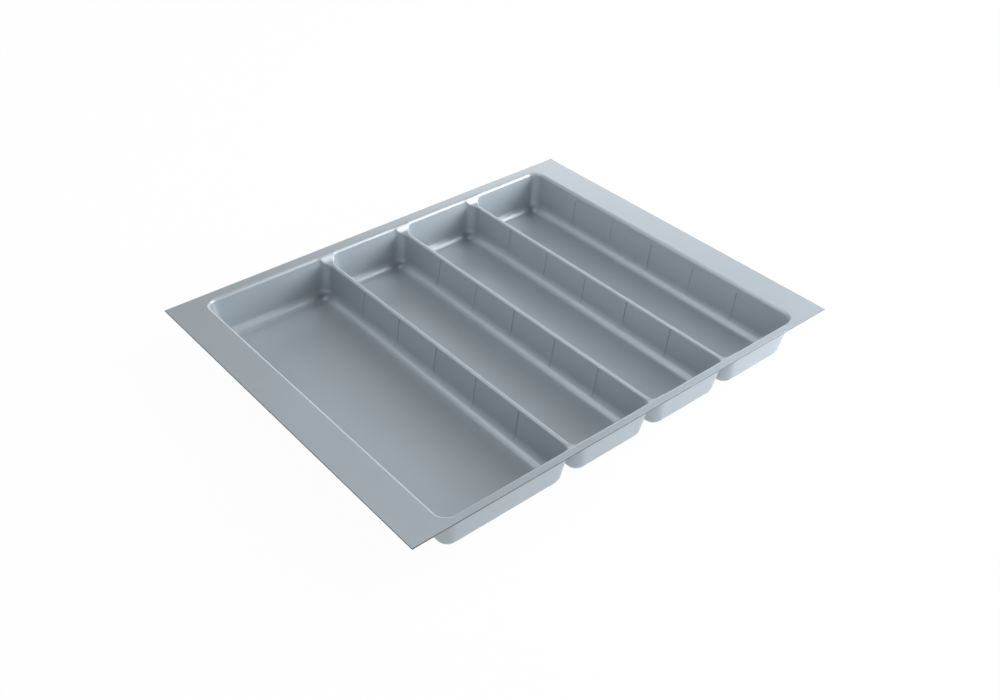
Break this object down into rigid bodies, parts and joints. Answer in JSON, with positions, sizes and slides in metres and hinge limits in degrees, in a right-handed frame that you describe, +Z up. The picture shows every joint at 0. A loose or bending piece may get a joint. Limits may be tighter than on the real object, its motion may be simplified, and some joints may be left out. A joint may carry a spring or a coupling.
{
  "type": "cutlery tray",
  "caption": "Shallow drawer insert formed from one plastic sheet, with a wide flat flange, open compartments side by side and low hollow dividers.",
  "frame": {"origin": "middle of the rectangle that bounds the tray, at the height of the surface it stands on", "axes": "+X to the right along the width, +Y from the front of the drawer to its back, +Z up"},
  "size_m": [0.54, 0.432, 0.048],
  "materials": {
    "tray": "satin silver grey"
  },
  "bodies": {
    "root": {"tray": "tray"}
  },
  "joints": []
}
